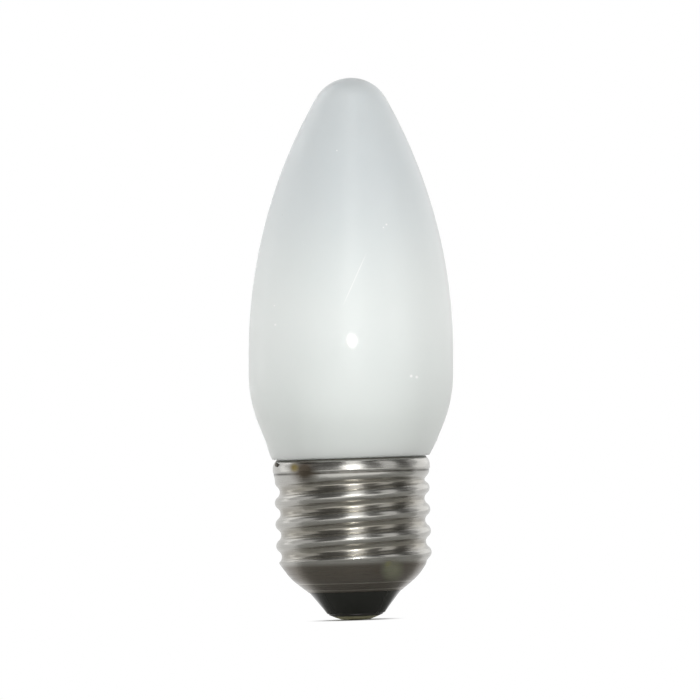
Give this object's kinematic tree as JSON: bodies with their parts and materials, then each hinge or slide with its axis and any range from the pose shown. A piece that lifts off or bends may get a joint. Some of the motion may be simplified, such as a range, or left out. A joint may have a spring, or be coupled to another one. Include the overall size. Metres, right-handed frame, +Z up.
{
  "type": "candle bulb",
  "caption": "Frosted candle-shaped light bulb with a rolled Edison screw cap, a black glass insulator and a domed brass centre contact.",
  "frame": {"origin": "lowest point of the solder on the centre contact, on the axis of the screw cap, where the lamp meets its holder", "axes": "+Z runs up the axis of the screw cap towards the tip of the glass; the glass leans 1.9 degrees from it towards +X; -Y faces the camera of the picture"},
  "size_m": [0.0347, 0.0346, 0.0914],
  "materials": {
    "frosted_glass": "soda-lime glass with a white opal frosting, satin surface",
    "plated_shell": "nickel-plated sheet, bright, with fine turning marks and a light tarnish",
    "black_glass": "black vitrite glass, fire-polished gloss",
    "contact_brass": "bare brass, dull and tarnished",
    "solder": "soft solder, dull grey",
    "cement": "baked basing cement, matt and chalky",
    "lead_wire": "copper-plated lead wire"
  },
  "bodies": {
    "root": {"glass_bulb": "frosted_glass", "screw_shell": "plated_shell", "insulator": "black_glass", "centre_contact": "contact_brass", "contact_solder": "solder", "side_solder": "solder", "basing_cement": "cement", "centre_lead": "lead_wire", "side_lead": "lead_wire"}
  },
  "joints": []
}
